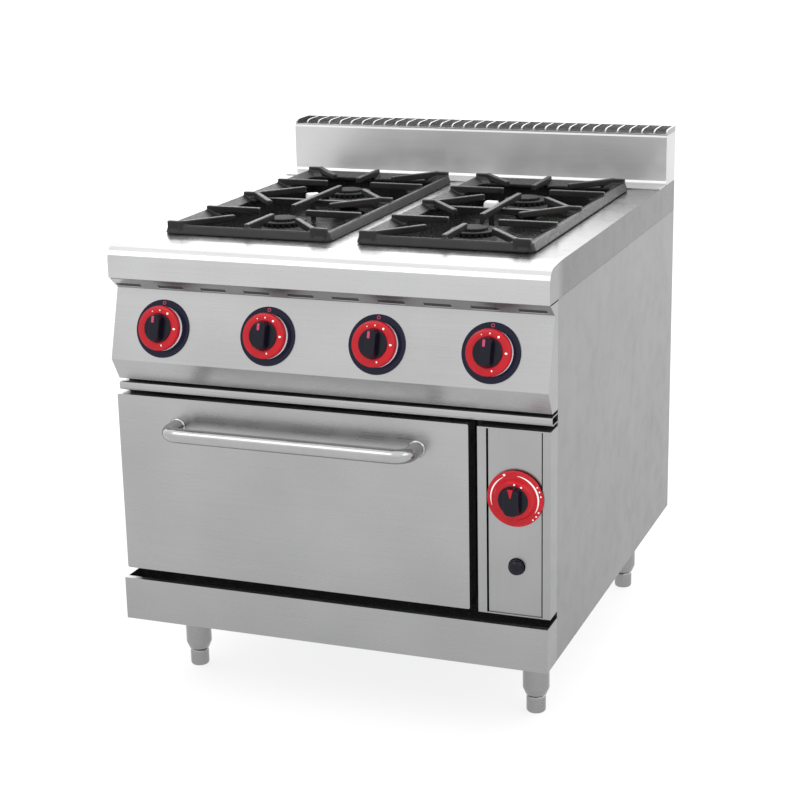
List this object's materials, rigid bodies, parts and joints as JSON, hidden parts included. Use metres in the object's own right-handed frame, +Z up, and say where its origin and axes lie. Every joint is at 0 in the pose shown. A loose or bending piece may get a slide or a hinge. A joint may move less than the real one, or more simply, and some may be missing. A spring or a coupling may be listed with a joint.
{
  "type": "commercial gas range",
  "caption": "Free-standing commercial gas range with four open burners, drop-down oven door, side control column, flue riser and adjustable legs.",
  "frame": {"origin": "bottom centre of the bounding box, on the floor under the middle of the range", "axes": "+X to the right seen from the front, +Y to the back, +Z up; the oven door and knobs face -Y"},
  "size_m": [0.8, 0.958, 0.951],
  "materials": {
    "stainless_steel": "satin brushed stainless sheet, grain along each panel's length",
    "polished_steel": "bright polished stainless tube",
    "galvanised_steel": "dull galvanised sheet",
    "oven_steel": "dark mild steel",
    "chrome_wire": "plated wire",
    "black_enamel": "semi-gloss vitreous enamel",
    "cast_iron": "matt black, slightly rough casting",
    "gas_brass": "machined brass and copper pipe",
    "red_plastic": "glossy red with white printed marks; grip in glossy black",
    "bezel_plastic": "glossy blue-black",
    "black_plastic": "glossy black",
    "pilot_ceramic": "white ceramic",
    "gasket_rubber": "matt black door seal"
  },
  "bodies": {
    "range_body": {"worktop": "stainless_steel", "control_panel": "stainless_steel", "drip_rail": "stainless_steel", "side_panel_left": "stainless_steel", "side_panel_right": "stainless_steel", "back_panel": "galvanised_steel", "base_pan": "galvanised_steel", "plinth": "stainless_steel", "flue_riser": "stainless_steel", "flue_grille": "stainless_steel", "column_frame": "stainless_steel", "oven_control_plate": "stainless_steel", "spill_tray_left": "black_enamel", "spill_tray_right": "black_enamel", "pilot_left": "pilot_ceramic", "pilot_right": "pilot_ceramic", "oven_liner": "black_enamel", "oven_sole_plate": "oven_steel", "oven_rack": "chrome_wire", "oven_burner": "oven_steel", "gas_manifold": "gas_brass", "oven_valve": "gas_brass", "door_gasket": "gasket_rubber", "door_hinge_left": "oven_steel", "door_hinge_right": "oven_steel", "burner_body_1": "cast_iron", "burner_cap_1": "cast_iron", "burner_valve_1": "gas_brass", "knob_bezel_1": "bezel_plastic", "burner_body_2": "cast_iron", "burner_cap_2": "cast_iron", "burner_valve_2": "gas_brass", "knob_bezel_2": "bezel_plastic", "burner_body_3": "cast_iron", "burner_cap_3": "cast_iron", "burner_valve_3": "gas_brass", "knob_bezel_3": "bezel_plastic", "burner_body_4": "cast_iron", "burner_cap_4": "cast_iron", "burner_valve_4": "gas_brass", "knob_bezel_4": "bezel_plastic", "leg_front_left": "stainless_steel", "leg_front_right": "stainless_steel", "leg_rear_left": "stainless_steel", "leg_rear_right": "stainless_steel"},
    "oven_door": {"door_panel": "stainless_steel", "door_liner": "black_enamel", "door_handle": "polished_steel"},
    "oven_dial_body": {"oven_dial": "red_plastic"},
    "igniter_body": {"igniter_button": "black_plastic"},
    "grate_left_body": {"grate_left": "cast_iron"},
    "grate_right_body": {"grate_right": "cast_iron"},
    "knob_1_body": {"knob_1": "red_plastic"},
    "knob_2_body": {"knob_2": "red_plastic"},
    "knob_3_body": {"knob_3": "red_plastic"},
    "knob_4_body": {"knob_4": "red_plastic"},
    "foot_front_left_body": {"foot_front_left": "stainless_steel"},
    "foot_front_right_body": {"foot_front_right": "stainless_steel"},
    "foot_rear_left_body": {"foot_rear_left": "stainless_steel"},
    "foot_rear_right_body": {"foot_rear_right": "stainless_steel"}
  },
  "joints": [
    {"name": "oven_door_hinge", "type": "hinge", "parent": "range_body", "child": "oven_door", "pos_m": [-0.071, -0.405, 0.252], "axis": [1, 0, 0], "range_deg": [0, 90]},
    {"name": "knob_1_turn", "type": "hinge", "parent": "range_body", "child": "knob_1_body", "pos_m": [-0.3037, -0.41061, 0.69234], "axis": [0, -0.957, 0.2902], "range_deg": [0, 210]},
    {"name": "knob_2_turn", "type": "hinge", "parent": "range_body", "child": "knob_2_body", "pos_m": [-0.1032, -0.41061, 0.69234], "axis": [0, -0.957, 0.2902], "range_deg": [0, 210]},
    {"name": "knob_3_turn", "type": "hinge", "parent": "range_body", "child": "knob_3_body", "pos_m": [0.0973, -0.41061, 0.69234], "axis": [0, -0.957, 0.2902], "range_deg": [0, 210]},
    {"name": "knob_4_turn", "type": "hinge", "parent": "range_body", "child": "knob_4_body", "pos_m": [0.2978, -0.41061, 0.69234], "axis": [0, -0.957, 0.2902], "range_deg": [0, 210]},
    {"name": "oven_dial_turn", "type": "hinge", "parent": "range_body", "child": "oven_dial_body", "pos_m": [0.3395, -0.413, 0.4465], "axis": [0, -1, 0], "range_deg": [0, 290]},
    {"name": "igniter_push", "type": "slide", "parent": "range_body", "child": "igniter_body", "axis": [0, 1, 0], "range_m": [0, 0.006], "stiffness_N_per_m": 1500, "springref_m": -0.003},
    {"name": "grate_left_lift", "type": "slide", "parent": "range_body", "child": "grate_left_body", "axis": [0, 0, 1], "range_m": [0, 0.12]},
    {"name": "grate_right_lift", "type": "slide", "parent": "range_body", "child": "grate_right_body", "axis": [0, 0, 1], "range_m": [0, 0.12]},
    {"name": "foot_front_left_level", "type": "slide", "parent": "range_body", "child": "foot_front_left_body", "axis": [0, 0, -1], "range_m": [0, 0.03]},
    {"name": "foot_front_right_level", "type": "slide", "parent": "range_body", "child": "foot_front_right_body", "axis": [0, 0, -1], "range_m": [0, 0.03]},
    {"name": "foot_rear_left_level", "type": "slide", "parent": "range_body", "child": "foot_rear_left_body", "axis": [0, 0, -1], "range_m": [0, 0.03]},
    {"name": "foot_rear_right_level", "type": "slide", "parent": "range_body", "child": "foot_rear_right_body", "axis": [0, 0, -1], "range_m": [0, 0.03]}
  ]
}
